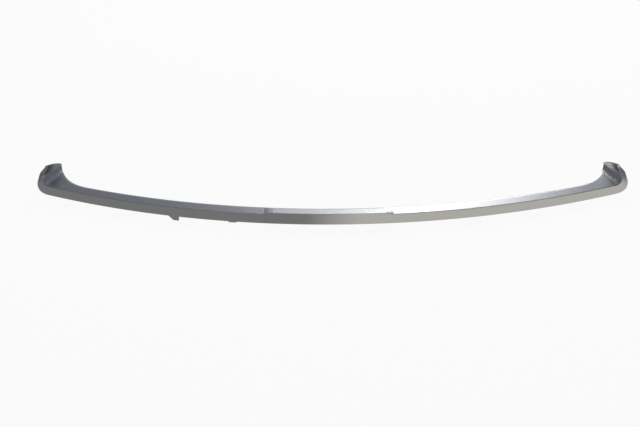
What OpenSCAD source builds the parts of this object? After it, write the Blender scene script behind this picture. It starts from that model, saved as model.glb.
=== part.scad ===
// Bumper grille trim: one injection-moulded strip that borders the lower edge of a grille
// opening. X runs across the car, +Y is the back, +Z is up. It lies on the lip and the guide lug.

/* [Plan] */
// Overall width from one outer end to the other
trim_w = 1200; // [900:10:1500]
// How far the outer ends lie behind the middle
sweep = 155; // [60:5:240]
// Share of the sweep that builds up late, towards the ends
late_sweep = 0.05; // [0:0.05:0.6]

/* [Section] */
// Height of the front lip at the middle of the trim
lip_h = 20.5; // [16:0.5:32]
// Height of the front lip where the ends start to turn up
lip_end_h = 19.5; // [13:0.5:26]
// Width of the rim that the lip becomes at the ends
rim_w = 9; // [7:0.5:16]
// How far the lip's lower edge is set back from the crease
lip_tuck = 1.5; // [0:0.5:6]
// Depth of the band that runs back from the crease
band_d = 21; // [14:1:32]
// How much the band climbs towards its back edge
band_rise = 6; // [6:0.5:14]
// Wall thickness of the moulding
wall = 2.8; // [2.2:0.1:3.4]
// Radius along the crease between lip and band
crease_r = 2; // [1:0.1:3]

/* [Pad] */
// Length of the raised middle pad, ramps included
pad_l = 256; // [160:2:360]
// Length of the slanted facet at each end of the pad
pad_ramp = 17; // [8:1:30]
// How far the pad's face stands in front of the lip
pad_proud = 2.5; // [1:0.5:4]
// How far the pad's upper edge climbs above the crease
pad_climb = 4.5; // [2:0.5:5.5]

/* [Scoop ends] */
// Radius of the crease where it turns up into the scoop
turn_r = 15; // [12:1:28]
// Angle that the crease turns up by; past 90 the ends lean in
turn_up = 108; // [90:1:112]
// Height of the upturned ends above the lip's lower edge
end_h = 56; // [48:1:76]
// Height of the scoop's back edge at its tip
tip_h = 48; // [44:1:74]
// Depth of the scoop from its rim to its tip
scoop_d = 38; // [34:1:60]
// How far the tip lies in from the top of the crease
scoop_in = 7; // [2:1:24]
// Length of arm over which the band widens into the scoop
blend_l = 72; // [40:2:100]
// How far the top of the ends leans back
end_lean = 17; // [0:1:20]

/* [Snap hooks] */
// Number of snap hooks on each half
hook_count = 3; // [2:1:4]
// Distance of the innermost snap hooks from the middle
hook_inner_x = 110; // [60:5:160]
// Distance of the outermost snap hooks from the ends
hook_end_gap = 110; // [90:5:160]
// Width of a snap hook
hook_w = 20; // [12:1:26]
// Height of a snap hook's underside above the lip's lower edge
hook_z = 6; // [4:0.5:8]
// How far a snap hook reaches past the band's back edge
hook_out = 8; // [5:1:12]
// Thickness of a snap hook
hook_t = 2.4; // [2:0.1:3]
// Depth of the barb under a snap hook's end
barb_h = 1.8; // [1:0.1:2.5]

/* [Lugs under the lip] */
// Distance of the guide lug from the middle, on the left arm
guide_x = 312; // [240:2:360]
// Width of the guide lug at the lip
guide_w = 22; // [16:1:30]
// Width of the guide lug at its lower end
guide_tip_w = 11; // [6:1:16]
// How far the guide lug reaches below the lip
guide_drop = 9; // [5:0.5:12]
// Distance of the small stop lug from the middle, on the left arm
stop_x = 192; // [160:2:220]
// Width of the stop lug
stop_w = 16; // [10:1:22]
// How far the stop lug reaches below the lip
stop_drop = 2.5; // [1.5:0.5:4]
// Thickness of a lug
lug_t = 2.4; // [2:0.1:3]

/* [Ribs] */
// Spacing of the stiffening ribs in the channel behind the lip
rib_gap = 90; // [60:5:140]
// Thickness of a rib
rib_t = 2; // [1.6:0.1:2.6]

/* [Fixings] */
// Distance of the inner locating pins from the middle
pin_inner_x = 50; // [30:5:80]
// Distance of the outer locating pins from the ends
pin_end_gap = 210; // [180:5:260]
// Distance of the screw ears from the ends
ear_end_gap = 76; // [66:2:86]
// Radius of a locating pin
pin_r = 2.5; // [2:0.1:3.5]
// Length of a locating pin
pin_l = 8; // [6:0.5:12]
// Radius of the screw hole in an ear
hole_r = 2.75; // [2:0.05:3.25]
// Radius of the rounded end of an ear or a pin's foot
ear_r = 8; // [6:0.5:9]
// Thickness of an ear or a pin's foot
ear_t = 3; // [2.5:0.1:4]

/* [Hidden] */

half_w = trim_w / 2;
// Places of the hooks, pins and ears along each half
hook_pitch = (half_w - hook_end_gap - hook_inner_x) / (hook_count - 1);
hook_x = [for (i = [0 : hook_count - 1]) hook_inner_x + i * hook_pitch];
pin_x = [pin_inner_x, half_w - pin_end_gap];
ear_x = half_w - ear_end_gap;
// Height that the turn adds, the straight above it, and the length of crease along the turn
turn_gain = turn_r * (1 - cos(turn_up));
rise_l = (end_h - lip_end_h - turn_gain) / sin(turn_up);
turn_l = turn_r * turn_up * PI / 180;
// How far the rim reaches past the start of the turn at an angle of the turn, less what the lean takes back
turn_count = 12;
function rim_out(angle) =
    let (
        lean = end_lean * ease(turn_l * angle / turn_up / (turn_l + rise_l)),
        tuck = lip_tuck * (1 - angle / turn_up)
    )
    (turn_r + lip_end_h + (rim_w - lip_end_h) * ease(angle / turn_up)) * sin(angle)
    - (lean + tuck) * sin(atan(plan_slope(half_w)));
// Distance from the middle at which the crease starts to turn up
turn_x = half_w - max([for (i = [0 : turn_count]) rim_out(turn_up * i / turn_count)]);
// Depth over which a hook, a lug, a foot or a rib runs into the wall that carries it
bite = 1;
// Height over which a lug is joined to the back of the lip
root_l = 6;
// Share of the lip and of the band that a rib spans
rib_reach = 0.75;

// A smooth step from 0 to 1, and a straight one
function ease(t) = let (k = min(max(t, 0), 1)) k * k * (3 - 2 * k);
function ramp(t) = min(max(t, 0), 1);
function unit(v) = v / norm(v);

// The strip is drawn straightened: a point is [distance from the middle, height, depth].
// Plan line of the crease: how far it lies behind the middle, and its slope
function plan_y(x) = let (q = abs(x) / half_w)
    sweep * ((1 - late_sweep) * pow(q, 2) + late_sweep * pow(q, 4));
function plan_slope(x) = let (q = abs(x) / half_w)
    sign(x) * sweep / half_w * (2 * (1 - late_sweep) * q + 4 * late_sweep * pow(q, 3));
function bend(side, p) =
    let (slope = plan_slope(p[0]), back = unit([-slope, 1]))
    [side * (p[0] + back[0] * p[2]), plan_y(p[0]) + back[1] * p[2], p[1]];

// A station along the crease is [distance along the arm, angle turned up, straight above the turn]
arm_step = 16;
rise_count = 5;
pad_flat = pad_l / 2 - pad_ramp;
arm_start = pad_l / 2 + arm_step / 4;
arm_count = ceil((turn_x - arm_start) / arm_step);
half_stations = concat(
    [for (a = [arm_step : arm_step : pad_flat - arm_step / 4]) [a, 0, 0]],
    [[pad_flat, 0, 0], [pad_l / 2, 0, 0]],
    [for (i = [0 : arm_count - 1]) [arm_start + (turn_x - arm_start) * i / arm_count, 0, 0]],
    [for (i = [0 : turn_count]) [turn_x, turn_up * i / turn_count, 0]],
    [for (i = [1 : rise_count]) [turn_x, turn_up, rise_l * i / rise_count]]
);
stations = concat(
    [for (i = [len(half_stations) - 1 : -1 : 0]) [-1, half_stations[i]]],
    [[1, [0, 0, 0]]],
    [for (s = half_stations) [1, s]]
);

// The pad fades out along its ramp, and the scoop fades in from the arm to the top of the ends
function pad_at(s) = ramp((pad_l / 2 - s[0]) / pad_ramp);
function run_at(s) = s[0] - turn_x + turn_l * s[1] / turn_up + s[2];
function scoop_at(s) = ramp((run_at(s) + blend_l) / (turn_l + rise_l + blend_l));
function lean_at(s) = end_lean * ease(max(run_at(s), 0) / (turn_l + rise_l));
function lip_at(s) = lip_h + (lip_end_h - lip_h) * pow(s[0] / turn_x, 2);

// The crease: along the arm, round the turn and up
function crease(s) = [
    s[0] + turn_r * sin(s[1]) + s[2] * cos(s[1]),
    lip_at(s) + turn_r * (1 - cos(s[1])) + s[2] * sin(s[1]) + pad_climb * pad_at(s),
    lean_at(s) - pad_proud * pad_at(s)
];
// The lower edge of the lip, which becomes the outer edge of the rim
function lip_edge(s) =
    let (w = lip_at(s) + (rim_w - lip_end_h) * ease(s[1] / turn_up) + pad_climb * pad_at(s))
    crease(s) + [w * sin(s[1]), -w * cos(s[1]), lip_tuck * (1 - s[1] / turn_up)];
// The back edge of the band, which sweeps up to the tip of the scoop in one hollow curve
crease_top = crease([turn_x, turn_up, rise_l]);
tip = [crease_top[0] - scoop_in, tip_h, end_lean + scoop_d];
function back_edge(s) =
    let (
        t = scoop_at(s),
        foot = [turn_x - blend_l, lip_at(s) + band_rise],
        elbow = [tip[0], lip_at(s) + band_rise],
        sweep_up = (1 - t) * (1 - t) * foot + 2 * t * (1 - t) * elbow + t * t * [tip[0], tip[1]]
    )
    t > 0 ? [sweep_up[0], sweep_up[1], band_d + (tip[2] - band_d) * ease(t)]
          : [s[0], lip_at(s) + band_rise, band_d];

// The lip edge, crease and back edge of a section, moved into the moulding by a depth
function core(s, depth) =
    let (
        c = crease(s), lip = lip_edge(s), back = back_edge(s),
        to_lip = unit(lip - c), to_back = unit(back - c), along = to_lip * to_back,
        in_lip = unit(to_back - to_lip * along), in_back = unit(to_lip - to_back * along)
    )
    [lip + in_lip * depth, c + (in_lip + in_back) * depth / (1 + in_lip * in_back), back + in_back * depth];

// The outline of one section, from the lip's hidden side round the crease to the band's
crease_steps = 4;
edge = wall * 0.3;
function section(s) =
    let (
        face = core(s, 0), near = core(s, edge), inside = core(s, wall), c = face[1],
        to_lip = unit(face[0] - c), to_back = unit(face[2] - c),
        fork = acos(to_lip * to_back),
        hub = c + unit(to_lip + to_back) * crease_r / sin(fork / 2),
        first = c + to_lip * crease_r / tan(fork / 2) - hub,
        last = c + to_back * crease_r / tan(fork / 2) - hub
    )
    concat(
        [inside[1], inside[0], near[0], face[0] - to_lip * edge],
        [for (i = [0 : crease_steps])
            let (t = i / crease_steps) hub + crease_r * unit(first * (1 - t) + last * t)],
        [face[2] - to_back * edge, near[2], inside[2]]
    );

rings = [for (st = stations) [for (p = section(st[1])) bend(st[0], p)]];
// The origin is centred below the trim, at the height of the guide lug's end
front_y = min([for (r = rings, p = r) p[1]]);
back_y = max([for (r = rings, p = r) p[1]]);
origin = [0, (front_y + back_y) / 2, -guide_drop];

module moulded_strip() {
    n = len(rings[0]);
    m = len(rings);
    points = [for (r = rings) each r];
    sides = [for (i = [0 : m - 2], j = [0 : n - 1])
        let (a = i * n + j, b = i * n + (j + 1) % n, c = a + n, d = b + n)
        each [[a, b, d], [a, d, c]]];
    left_cap = [for (j = [n - 1 : -1 : 0]) j];
    right_cap = [for (j = [0 : n - 1]) (m - 1) * n + j];
    polyhedron(points = points, faces = concat(sides, [left_cap, right_cap]), convexity = 8);
}

// Places its children on the crease at a distance from the middle, turned to the plan line
module on_plan(x) {
    translate([x, plan_y(x), 0]) rotate([0, 0, atan(plan_slope(x))]) children();
}

// Draws a profile of straightened points as a plate across X
module across(width, profile) {
    translate([-width / 2, 0, 0]) rotate([90, 0, 90]) linear_extrude(width)
        polygon([for (p = profile) [p[2], p[1]]]);
}

// A tongue that runs back from the lip under the band, with a barb below its end
module snap_hook(x) {
    c = core([abs(x), 0, 0], wall - bite);
    root = c[0] + (c[1] - c[0]) * (hook_z - c[0][1]) / (c[1][1] - c[0][1]);
    end = band_d + hook_out;
    across(hook_w, [
        [0, hook_z, root[2]], [0, hook_z + hook_t, root[2]], [0, hook_z + hook_t, end], [0, hook_z, end],
        [0, hook_z - barb_h, end - barb_h], [0, hook_z, end - 2 * barb_h]
    ]);
}

// A flat lug below the lip on the left arm; its outer side slants where it is narrower at its end
module lug(x, width, tip_width, drop) {
    root = core([x, 0, 0], wall - bite)[0];
    on_plan(-x) translate([0, root[2] + lug_t, 0]) rotate([90, 0, 0]) linear_extrude(lug_t + bite)
        polygon([
            [-width / 2, root[1] + root_l], [-width / 2, 0], [width / 2 - tip_width, -drop],
            [width / 2, -drop], [width / 2, root[1] + root_l]
        ]);
}

// A triangular web in the channel between lip and band
module rib(x) {
    c = core([abs(x), 0, 0], wall - bite);
    across(rib_t, [c[1], c[1] + (c[0] - c[1]) * rib_reach, c[1] + (c[2] - c[1]) * rib_reach]);
}

// Height of the round of an ear, its top inside the band, and how far its face lies behind the crease
ear_z = lip_end_h + band_rise - wall - ear_r - bite;
ear_back = band_d - bite;

// A flat foot that hangs from the band's back edge, square to the car's length
module foot(x) {
    translate([x, plan_y(x) + ear_back, 0]) {
        translate([0, 0, ear_z]) rotate([90, 0, 0]) cylinder(r = ear_r, h = ear_t, $fn = 48);
        translate([-ear_r, -ear_t, ear_z])
            cube([ear_r * 2, ear_t, lip_at([abs(x), 0, 0]) + band_rise - wall / 2 - ear_z]);
    }
}

module locating_pin(x) {
    translate([x, plan_y(x) + ear_back - bite, ear_z]) rotate([-90, 0, 0])
        cylinder(r = pin_r, h = pin_l + bite, $fn = 48);
}

module screw_hole(x) {
    translate([x, plan_y(x) + ear_back + bite, ear_z]) rotate([90, 0, 0])
        cylinder(r = hole_r, h = ear_t + 2 * bite, $fn = 48);
}

module grille_trim() {
    color("silver") translate(-origin) difference() {
        union() {
            moulded_strip();
            for (x = hook_x, side = [-1, 1]) on_plan(side * x) snap_hook(x);
            lug(guide_x, guide_w, guide_tip_w, guide_drop);
            lug(stop_x, stop_w, stop_w, stop_drop);
            for (x = [rib_gap / 2 : rib_gap : turn_x - blend_l], side = [-1, 1])
                on_plan(side * x) rib(x);
            for (x = pin_x, side = [-1, 1]) {
                foot(side * x);
                locating_pin(side * x);
            }
            for (side = [-1, 1]) foot(side * ear_x);
        }
        for (side = [-1, 1]) screw_hole(side * ear_x);
    }
}

grille_trim();
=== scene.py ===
import math
import bmesh
import bpy
from mathutils import Matrix, Vector


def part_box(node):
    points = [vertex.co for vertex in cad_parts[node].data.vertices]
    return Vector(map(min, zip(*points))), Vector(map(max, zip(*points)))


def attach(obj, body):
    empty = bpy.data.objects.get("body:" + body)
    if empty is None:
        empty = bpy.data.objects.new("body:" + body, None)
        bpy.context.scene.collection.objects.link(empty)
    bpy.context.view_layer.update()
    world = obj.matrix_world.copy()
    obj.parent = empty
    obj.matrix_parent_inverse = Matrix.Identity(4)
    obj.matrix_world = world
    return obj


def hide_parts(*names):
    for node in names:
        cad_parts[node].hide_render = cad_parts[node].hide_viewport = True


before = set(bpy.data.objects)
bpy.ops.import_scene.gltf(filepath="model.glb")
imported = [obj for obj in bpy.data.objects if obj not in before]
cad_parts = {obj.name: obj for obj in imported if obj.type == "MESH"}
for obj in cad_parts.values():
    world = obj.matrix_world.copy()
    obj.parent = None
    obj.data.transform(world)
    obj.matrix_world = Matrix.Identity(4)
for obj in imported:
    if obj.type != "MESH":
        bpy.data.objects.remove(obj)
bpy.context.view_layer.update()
scene = bpy.context.scene
scene.view_settings.view_transform = "Standard"

# The view: the trim lies on a pale table, seen from the front and a little above, through a long
# lens that keeps the two arms of the bow nearly the same size.
lens_px, photo_w, sensor_mm = 2200, 640, 36
camera_at = Vector((0.143, -4.001, 1.868))
look_down, look_left, roll = math.radians(25.14), math.radians(2.35), math.radians(-1.11)

camera = bpy.data.objects.new("camera", bpy.data.cameras.new("camera"))
scene.collection.objects.link(camera)
camera.data.sensor_width = sensor_mm
camera.data.lens = lens_px * sensor_mm / photo_w
camera.data.clip_end = 50
camera.matrix_world = (Matrix.Translation(camera_at) @ Matrix.Rotation(look_left, 4, "Z")
                       @ Matrix.Rotation(math.pi / 2 - look_down, 4, "X") @ Matrix.Rotation(roll, 4, "Z"))
scene.camera = camera


# The strip: one long moulding in ABS, painted silver on its show side. The front lip folds over at
# the crease into a band, a pad stands out in the middle, and both ends turn up into scoops. Lengths
# are in mm until it is scaled to metres, and its width stays just inside the box of the solid.
MM, inside_box = 0.001, 0.2
cad_low, cad_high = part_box("grille_trim")
half_w = cad_high.x / MM - inside_box
sweep, late_sweep = 155, 0.05
lip_h, lip_end_h, rim_w, lip_tuck = 20.5, 19.5, 9, 1.5
band_d, band_rise = 21, 6
wall, crease_r, inner_r, rim_r = 2.8, 1.1, 1, 0.7
pad_l, pad_ramp, pad_proud, pad_climb = 256, 17, 2.5, 4.5
turn_r, turn_up = 15, math.radians(108)
end_h, tip_h, end_lean = 56, 48, 17
scoop_d, scoop_in, blend_l = 38, 7, 72
scoop_hollow, tip_rim, corner_fill, rim_lean = 1.8, 4.6, 0.22, math.radians(20)
roll_from, roll_drop, roll_step = 0.86, 1.3, 0.5
facet_low, facet_lean = 10.2, 2
turn_steps, round_sides = 12, 32
shown, hidden = 0, 1


def ease(t):
    t = min(max(t, 0), 1)
    return t * t * (3 - 2 * t)


def plan_y(x):
    q = abs(x) / half_w
    return sweep * ((1 - late_sweep) * q ** 2 + late_sweep * q ** 4)


def plan_slope(x):
    q = abs(x) / half_w
    return math.copysign(1, x) * sweep / half_w * (2 * (1 - late_sweep) * q + 4 * late_sweep * q ** 3)


turn_l = turn_r * turn_up
rise_l = (end_h - lip_end_h - turn_r * (1 - math.cos(turn_up))) / math.sin(turn_up)


def rim_at(angle, lip):
    """Width of the lip as it turns up into the rim, squared out at the lower corner."""
    square = corner_fill * lip * math.sin(2 * angle) ** 2 if angle < math.pi / 2 else 0
    return lip + (rim_w - lip_end_h) * ease(angle / turn_up) + square


def lean_at(angle):
    """Direction of the rim, which leans out more and more as it climbs."""
    return angle - rim_lean * (angle / turn_up) ** 2


def rim_out(angle):
    """How far the rim stands out past the start of the turn, measured across the car."""
    lean = end_lean * ease(turn_l * angle / turn_up / (turn_l + rise_l))
    width = turn_r * math.sin(angle) + rim_at(angle, lip_end_h) * math.sin(lean_at(angle))
    back = lean + lip_tuck * (1 - angle / turn_up)
    return width - back * math.sin(math.atan(plan_slope(half_w)))


turn_x = half_w - max(rim_out(turn_up * i / turn_steps) for i in range(turn_steps + 1))
reach = turn_x + turn_l + rise_l


def rails(run):
    """Lip edge, crease and back edge at a distance along the crease, each as (out, up, back)."""
    past = run - turn_x
    along = min(run, turn_x)
    angle = min(max(past, 0) / turn_r, turn_up)
    rise = max(past - turn_l, 0)
    share = angle / turn_up
    pad = min(max((pad_l / 2 - run) / pad_ramp, 0), 1)
    lip = lip_h + (lip_end_h - lip_h) * (along / turn_x) ** 2
    crease = Vector((along + turn_r * math.sin(angle) + rise * math.cos(angle),
                     lip + turn_r * (1 - math.cos(angle)) + rise * math.sin(angle) + pad_climb * pad,
                     end_lean * ease(past / (turn_l + rise_l)) - pad_proud * pad))
    height = rim_at(angle, lip) + pad_climb * pad + (tip_rim - rim_w) * ease(rise / rise_l)
    lean = lean_at(angle)
    edge = crease + Vector((height * math.sin(lean), -height * math.cos(lean), lip_tuck * (1 - share)))
    t = min(max((past + blend_l) / (turn_l + rise_l + blend_l), 0), 1)
    if t == 0:
        return edge, crease, Vector((along, lip + band_rise, band_d)), t
    tip = Vector((turn_x + turn_r * math.sin(turn_up) + rise_l * math.cos(turn_up) - scoop_in, tip_h))
    foot = Vector((turn_x - blend_l, lip + band_rise))
    elbow = Vector((tip.x, lip + band_rise))
    swept = (1 - t) ** 2 * foot + 2 * t * (1 - t) * elbow + t * t * tip
    return edge, crease, Vector((swept.x, swept.y, band_d + (end_lean + scoop_d - band_d) * ease(t))), t


def proud_at(run, up):
    """How far the pad's face stands before the lip: most at the crease and not at all low down. A
    slanted three-cornered facet closes each end."""
    face = (up - facet_low) / (lip_h + pad_climb - facet_low)
    lean = (pad_ramp + facet_lean) / (lip_h - facet_low)
    facet = (pad_l / 2 - run + lean * (up - lip_h)) / (pad_ramp + lean * pad_climb)
    return pad_proud * min(max(min(face, facet), 0), 1)


def skin(run, across):
    """The painted skin, straightened: across is -1 on the lip edge, 0 on the crease, 1 on the back edge."""
    edge, crease, back, scoop = rails(run)
    if across >= 0:
        hollow = (back - crease).cross(edge - crease).normalized() * scoop_hollow * scoop
        ahead = rails(run + roll_step)[2] - rails(run - roll_step)[2]
        roll = roll_drop * (1 - scoop) * (max(across - roll_from, 0) / (1 - roll_from)) ** 2
        dip = ahead.cross(back - crease).normalized() * roll
        return crease.lerp(back, across) + hollow * 4 * across * (1 - across) + dip
    point = crease.lerp(edge, -across)
    if run < pad_l / 2:
        point.z = -lip_tuck * across - proud_at(run, point.y)
    return point


def bend(point, side):
    """Bends a straightened point to the plan line, on the right (1) or the left (-1) arm."""
    back = Vector((-plan_slope(point.x), 1)).normalized()
    return Vector((side * (point.x + back.x * point.z), plan_y(point.x) + back.y * point.z, point.y))


# The skin starts as a flat grid, whose long way follows the crease and short way goes from lip to
# band. It is cut finer across the band, and across the lip where the ends of the pad are.
grid_step, facet_rows = 1.5, 10
sharp_fold, square_fold, plate_fold = 0.7, 1, 0.8
trim = bmesh.new()
bmesh.ops.create_grid(trim, x_segments=2 * round(reach / grid_step), y_segments=2, size=1)
for row in (0.25, 0.5, 0.75, roll_from, (1 + roll_from) / 2):
    bmesh.ops.bisect_plane(trim, geom=trim.verts[:] + trim.edges[:] + trim.faces[:], plane_co=(0, row, 0),
                           plane_no=(0, 1, 0))
for row in range(1, facet_rows):
    lip_faces = [f for f in trim.faces if f.calc_center_median().y < 0
                 and abs(abs(f.calc_center_median().x) * reach - pad_l / 2 + pad_ramp / 2) < pad_ramp]
    around = {part for f in lip_faces for part in (*f.verts, *f.edges)}
    bmesh.ops.bisect_plane(trim, geom=[*around, *lip_faces], plane_co=(0, -row / facet_rows, 0),
                           plane_no=(0, 1, 0))
for v in trim.verts:
    v.co = bend(skin(abs(v.co.x) * reach, v.co.y), math.copysign(1, v.co.x))
bmesh.ops.recalc_face_normals(trim, faces=trim.faces)
crease_line = {e for e in trim.edges if e.calc_face_angle(0) > sharp_fold}

# The wall gets its thickness behind the skin, and the edges their radii. The index of a face says
# whether it is on the show side or hidden.
painted = trim.faces[:]
bmesh.ops.solidify(trim, geom=painted, thickness=wall)
bmesh.ops.recalc_face_normals(trim, faces=trim.faces)
for f in set(trim.faces) - set(painted):
    f.material_index = hidden
folds = [e for e in trim.edges if e.calc_face_angle(0) > square_fold and e not in crease_line]
inner_fold = [e for e in folds if e.calc_face_angle_signed() < 0]
rims = [e for e in folds if e.calc_face_angle_signed() > 0]
for edges, radius, segments in ((rims, rim_r, 3), (inner_fold, inner_r, 2), (crease_line, crease_r, 4)):
    bmesh.ops.bevel(trim, geom=[e for e in edges if e.is_valid], offset=radius, offset_type="OFFSET",
                    affect="EDGES", segments=segments, profile=0.5, clamp_overlap=True, material=-1)


def on_plan(x):
    """The place on the crease line at a distance from the middle, turned along the arm."""
    return Matrix.Translation((x, plan_y(x), 0)) @ Matrix.Rotation(math.atan(plan_slope(x)), 4, "Z")


def hidden_line(x, depth):
    """Lip edge, crease and back edge at x, moved into the wall by a depth, each as (out, up, back)."""
    edge, crease, back = (skin(abs(x), across) for across in (-1, 0, 1))
    to_lip, to_back = (edge - crease).normalized(), (back - crease).normalized()
    in_lip = (to_back - to_lip * to_back.dot(to_lip)).normalized()
    in_back = (to_lip - to_back * to_back.dot(to_lip)).normalized()
    corner = crease + (in_lip + in_back) * depth / (1 + in_lip.dot(in_back))
    return edge + in_lip * depth, corner, back + in_back * depth


def plate(outline, thickness, place, hole_r=0, index=hidden, radius=0.35):
    """Adds a flat moulded plate: an outline in XZ, run back along Y, with its edges rounded."""
    piece = bmesh.new()
    corners = [piece.verts.new((x, 0, z)) for x, z in outline]
    loop = [piece.edges.new((a, b)) for a, b in zip(corners, corners[1:] + corners[:1])]
    if hole_r:
        ring = bmesh.ops.create_circle(piece, segments=round_sides, radius=hole_r,
                                       matrix=Matrix.Rotation(math.pi / 2, 4, "X"))
        loop += list({e for v in ring["verts"] for e in v.link_edges})
    bmesh.ops.triangle_fill(piece, use_beauty=True, edges=loop)
    front = bmesh.ops.extrude_face_region(piece, geom=piece.faces[:])["geom"]
    bmesh.ops.translate(piece, vec=(0, thickness, 0),
                        verts=[g for g in front if isinstance(g, bmesh.types.BMVert)])
    bmesh.ops.dissolve_limit(piece, angle_limit=0.01, verts=piece.verts, edges=piece.edges)
    bmesh.ops.recalc_face_normals(piece, faces=piece.faces)
    edges = [e for e in piece.edges if e.calc_face_angle(0) > plate_fold]
    bmesh.ops.bevel(piece, geom=edges, offset=radius, segments=2, affect="EDGES", profile=0.5,
                    clamp_overlap=True, material=-1)
    add(piece, place, index)


def add(piece, place, index):
    """Joins a finished small piece to the trim."""
    bmesh.ops.triangulate(piece, faces=[f for f in piece.faces if len(f.verts) > 4])
    bmesh.ops.transform(piece, matrix=place, verts=piece.verts)
    for f in piece.faces:
        f.material_index = index
    mesh = bpy.data.meshes.new("joined")
    piece.to_mesh(mesh)
    trim.from_mesh(mesh)
    bpy.data.meshes.remove(mesh)
    piece.free()


# Ribs: triangular webs moulded in the channel behind the lip, which keep the fold from opening.
rib_gap, rib_t, rib_reach, bite = 90, 2, 0.75, 1
turn_across = Matrix.Rotation(math.pi / 2, 4, "Z")
x = rib_gap / 2
while x <= turn_x - blend_l:
    edge, crease, back = hidden_line(x, wall - bite)
    web = [crease, crease.lerp(edge, rib_reach), crease.lerp(back, rib_reach)]
    for side in (-1, 1):
        place = on_plan(side * x) @ Matrix.Translation((rib_t / 2, 0, 0)) @ turn_across
        plate([(p.z, p.y) for p in web], rib_t, place)
    x += rib_gap

# Snap hooks: six tongues that run back from the lip under the band. Each barb catches behind the
# edge of a slot in the grille frame when the trim is pushed on.
hook_x = (110, 300, 490)
hook_w, hook_z, hook_t, hook_out, barb_h = 20, 6, 2.4, 8, 1.8
hook_end = band_d + hook_out
for x in hook_x:
    edge, crease, back = hidden_line(x, wall - bite)
    root = edge.lerp(crease, (hook_z - edge.y) / (crease.y - edge.y)).z
    tongue = [(root, hook_z), (root, hook_z + hook_t), (hook_end, hook_z + hook_t), (hook_end, hook_z),
              (hook_end - barb_h, hook_z - barb_h), (hook_end - 2 * barb_h, hook_z)]
    for side in (-1, 1):
        plate(tongue, hook_w, on_plan(side * x) @ Matrix.Translation((hook_w / 2, 0, 0)) @ turn_across)

# Lugs: two flat tongues below the left lip, moulded with it and painted with it. The long one finds
# its slot in the bumper first, and the short one stops the lip.
lug_t, root_l = 2.4, 6
guide = dict(x=312, width=22, tip=11, drop=9)
stop = dict(x=192, width=16, tip=16, drop=2.5)
for lug in (guide, stop):
    root = hidden_line(lug["x"], wall - bite)[0]
    top, half = root.y + root_l, lug["width"] / 2
    tongue = [(-half, top), (-half, 0), (half - lug["tip"], -lug["drop"]), (half, -lug["drop"]), (half, top)]
    plate(tongue, lug_t + bite, on_plan(-lug["x"]) @ Matrix.Translation((0, root.z - bite, 0)), index=shown)

# Feet: four carry a round pin that centres the trim in the grille frame, and two at the outer ends
# have a hole for a screw from behind. All hang from the back edge of the band, square to the car.
pin_x, ear_x = (50, 390), 524
pin_r, pin_l, pin_round, hole_r, foot_r, foot_t = 2.5, 8, 0.625, 2.75, 8, 3
foot_z = lip_end_h + band_rise - wall - foot_r - bite
foot_back = band_d - bite
in_wall = 0.6 * wall
half_turn = [math.pi * (1 + 2 * i / round_sides) for i in range(round_sides // 2 + 1)]
for x in (*pin_x, ear_x):
    turn, roofs = math.atan(plan_slope(x)), []
    for corner in (-foot_r, foot_r):
        depth = (foot_back - foot_t - corner * math.tan(turn)) * math.cos(turn)
        run = x + corner + depth * math.sin(turn)
        crease, back = skin(run, 0), skin(run, 1)
        roofs.append(skin(run, (depth - crease.z) / (back.z - crease.z)).y - in_wall - foot_z)
    arc = [(foot_r * math.cos(a), foot_r * math.sin(a)) for a in half_turn]
    for side in (-1, 1):
        place = Matrix.Translation((side * x, plan_y(x) + foot_back, foot_z))
        left_roof, right_roof = roofs[::side]
        plate([(-foot_r, left_roof), *arc, (foot_r, right_roof)], foot_t,
              place @ Matrix.Translation((0, -foot_t, 0)), hole_r=hole_r if x == ear_x else 0)
        if x != ear_x:
            pin = bmesh.new()
            bmesh.ops.create_cone(pin, cap_ends=True, segments=round_sides, radius1=pin_r,
                                  radius2=pin_r, depth=pin_l + bite)
            end = [e for e in pin.edges if all(v.co.z < 0 for v in e.verts)]
            bmesh.ops.bevel(pin, geom=end, offset=pin_round, segments=3, affect="EDGES",
                            profile=0.5, material=-1)
            middle = Matrix.Translation((0, (pin_l - bite) / 2, 0))
            add(pin, place @ middle @ Matrix.Rotation(math.pi / 2, 4, "X"), hidden)

# The finished moulding, in metres and in the place that the frame gives it
guide_drop, front_y = guide["drop"], -pad_proud
bmesh.ops.translate(trim, vec=(0, cad_low.y / MM - front_y, guide_drop), verts=trim.verts)
bmesh.ops.scale(trim, vec=(MM, MM, MM), verts=trim.verts)

# Paint cover: full on the show side, thinning over the first rows of the hidden side as overspray
overspray, overspray_rows = 0.5, 2
shade_break = math.radians(50)
layer = trim.verts.layers.float.new("paint_cover")
cover = {v: float(any(f.material_index == shown for f in v.link_faces)) for v in trim.verts}
for _ in range(overspray_rows):
    cover = {v: max(cover[v], overspray * max(cover[e.other_vert(v)] for e in v.link_edges))
             for v in trim.verts}
for v, share in cover.items():
    v[layer] = share
for f in trim.faces:
    f.material_index = 0
    f.smooth = True
mesh = bpy.data.meshes.new("grille_trim_moulding")
trim.to_mesh(mesh)
trim.free()
mesh.set_sharp_from_angle(angle=shade_break)
moulding = bpy.data.objects.new("grille_trim_moulding", mesh)
scene.collection.objects.link(moulding)
moulding.modifiers.new("even_shading", "WEIGHTED_NORMAL").keep_sharp = True


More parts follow.
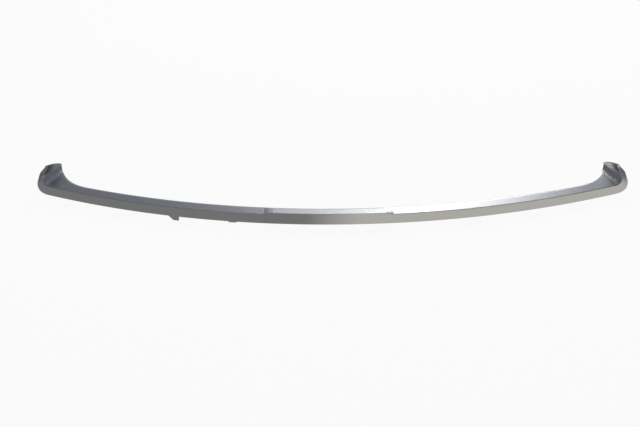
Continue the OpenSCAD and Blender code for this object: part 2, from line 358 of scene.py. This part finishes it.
class Signal:
    """One output of a shader node. Arithmetic on it adds Math nodes, and node() adds any other node."""

    def __init__(self, socket):
        self.socket = socket

    def node(self, kind, inputs, output=0, **settings):
        tree = self.socket.id_data
        made = tree.nodes.new(kind)
        for name, value in settings.items():
            setattr(made, name, value)
        for name, value in inputs.items():
            if isinstance(value, Signal):
                tree.links.new(value.socket, made.inputs[name])
            else:
                made.inputs[name].default_value = value
        return Signal(made.outputs[output])

    def math(self, operation, first, second):
        return self.node("ShaderNodeMath", {0: first, 1: second}, operation=operation)

    def __add__(self, other):
        return self.math("ADD", self, other)

    __radd__ = __add__

    def __sub__(self, other):
        return self.math("SUBTRACT", self, other)

    def __rsub__(self, other):
        return self.math("SUBTRACT", other, self)

    def __mul__(self, other):
        return self.math("MULTIPLY", self, other)

    __rmul__ = __mul__

    def blend(self, first, second):
        """Mixes two colours by this value."""
        inputs = {"Factor": self, "A": first, "B": second}
        return self.node("ShaderNodeMix", inputs, output="Result", data_type="RGBA")


def connect(shader, **inputs):
    """Sets or links the sockets of a shader."""
    for name, value in inputs.items():
        socket = shader.inputs[name.replace("_", " ")]
        if isinstance(value, Signal):
            shader.id_data.links.new(value.socket, socket)
        else:
            socket.default_value = value


# Silver paint: a satin metallic lacquer with a fine flake and a faint orange peel. Behind, it thins
# to a speckled overspray on the bare dark grey ABS, which is rougher and not metallic.
silver, flake, plastic = (0.31, 0.315, 0.325, 1), (0.42, 0.425, 0.435, 1), (0.042, 0.042, 0.044, 1)
metal, plastic_roughness, paint_gloss = 0.92, 0.52, 0.18
patchiness, cloudiness, grain = 0.35, 0.05, 0.04
coat, coat_roughness = 0.25, 0.22
peel_strength, peel_depth = 0.12, 0.0002
paint = bpy.data.materials.new("silver_paint")
paint.use_nodes = True
lacquer = paint.node_tree.nodes["Principled BSDF"]
at = Signal(paint.node_tree.nodes.new("ShaderNodeTexCoord").outputs["Object"])


def noise(scale, detail=2.0):
    return at.node("ShaderNodeTexNoise", {"Vector": at, "Scale": scale, "Detail": detail})


fine_flake = noise(2600)
speckle = noise(900, 3)
cloud = noise(28, 3)
peel = noise(420, 1)
thin = at.node("ShaderNodeAttribute", {}, output="Fac", attribute_name="paint_cover")
patchy = thin + patchiness * (speckle - 0.5)
covered = at.node("ShaderNodeMapRange", {"Value": patchy, "From Min": 0.35, "From Max": 0.75})
glint = at.node("ShaderNodeMapRange", {"Value": fine_flake, "From Min": 0.45, "From Max": 0.75})
tone = glint.blend(silver, flake)
satin = plastic_roughness - paint_gloss * covered
bump = at.node("ShaderNodeBump", {"Height": peel, "Strength": peel_strength, "Distance": peel_depth})
connect(lacquer, Base_Color=covered.blend(plastic, tone), Metallic=metal * covered,
        Roughness=satin + cloudiness * (cloud - 0.5) + grain * (fine_flake - 0.5),
        Coat_Weight=coat * covered, Coat_Roughness=coat_roughness, Normal=bump)
mesh.materials.append(paint)
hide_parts("grille_trim")
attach(moulding, "root")

# The floor: a plain pale table top, which the camera sees nearly white with the trim's shadow. The
# paint mirrors painted light glowing on it: grey on the left, and bright and warm on the right.
floor_size, floor_white = 14, 0.92
pure_white, table_white = (1, 1, 1, 1), (0.88, 0.88, 0.88, 1)
painted_dim_side, painted_bright_side = (0.5, 0.49, 0.47, 1), (1.33, 1.26, 1.15, 1)
dim_to, bright_from = -0.05, 0.06
ground = bmesh.new()
bmesh.ops.create_grid(ground, x_segments=1, y_segments=1, size=floor_size / 2)
floor_mesh = bpy.data.meshes.new("floor")
ground.to_mesh(floor_mesh)
ground.free()
floor = bpy.data.objects.new("floor", floor_mesh)
scene.collection.objects.link(floor)
table = bpy.data.materials.new("table")
table.use_nodes = True
nodes = table.node_tree.nodes
matte = nodes["Principled BSDF"]
rays = nodes.new("ShaderNodeLightPath")
seen, mirrored = Signal(rays.outputs["Is Camera Ray"]), Signal(rays.outputs["Is Glossy Ray"])
spot = Signal(nodes.new("ShaderNodeTexCoord").outputs["Object"])
right = spot.node("ShaderNodeSeparateXYZ", {"Vector": spot}, output="X")
# Painted light: to glossy rays the floor glows grey on the left and bright and warm on the right
painted_light_ramp = spot.node("ShaderNodeMapRange", {"Value": right, "From Min": dim_to, "From Max": bright_from})
connect(matte, Base_Color=table_white, Roughness=0.9)
painted_reflection_card = mirrored.blend(pure_white, painted_light_ramp.blend(painted_dim_side, painted_bright_side))
backdrop_and_painted_glow = seen.node("ShaderNodeEmission", {"Color": painted_reflection_card, "Strength": 1.0})
share = floor_white * seen + mirrored
both = seen.node("ShaderNodeMixShader", {0: share, 1: Signal(matte.outputs[0]), 2: backdrop_and_painted_glow})
connect(nodes["Material Output"], Surface=both)
floor_mesh.materials.append(table)

# The light: a dim bluish room, and a tall window behind and a little to the right, which the band of
# the right arm mirrors. A low dim panel stands behind on the left, a small one higher up behind on
# the right, and a broad one above and behind the camera.
room_tint = (0.26, 0.28, 0.315, 1)
world = bpy.data.worlds.new("room")
scene.world = world
world.use_nodes = True
room = world.node_tree.nodes["Background"]
sky = Signal(world.node_tree.nodes.new("ShaderNodeLightPath").outputs["Is Camera Ray"])
connect(room, Color=sky.blend(room_tint, pure_white), Strength=1.0)
lamps = (("window", 30, (0.4, 2.6), (0.32, 2.1, 2.2)), ("low_panel", 3.6, (1.5, 0.9), (-0.5, 2.4, 1.5)),
         ("right_panel", 8, (0.6, 1.3), (0.65, 2.0, 2.7)), ("front_panel", 48, (4.0, 2.2), (0, -5.5, 3.2)))
for name, power, size, stand in lamps:
    lamp = bpy.data.lights.new(name, "AREA")
    lamp.shape, lamp.size, lamp.size_y, lamp.energy = "RECTANGLE", *size, power
    holder = bpy.data.objects.new(name, lamp)
    holder.matrix_world = (Matrix.Translation(stand)
                           @ (-Vector(stand)).to_track_quat("-Z", "Y").to_matrix().to_4x4())
    scene.collection.objects.link(holder)
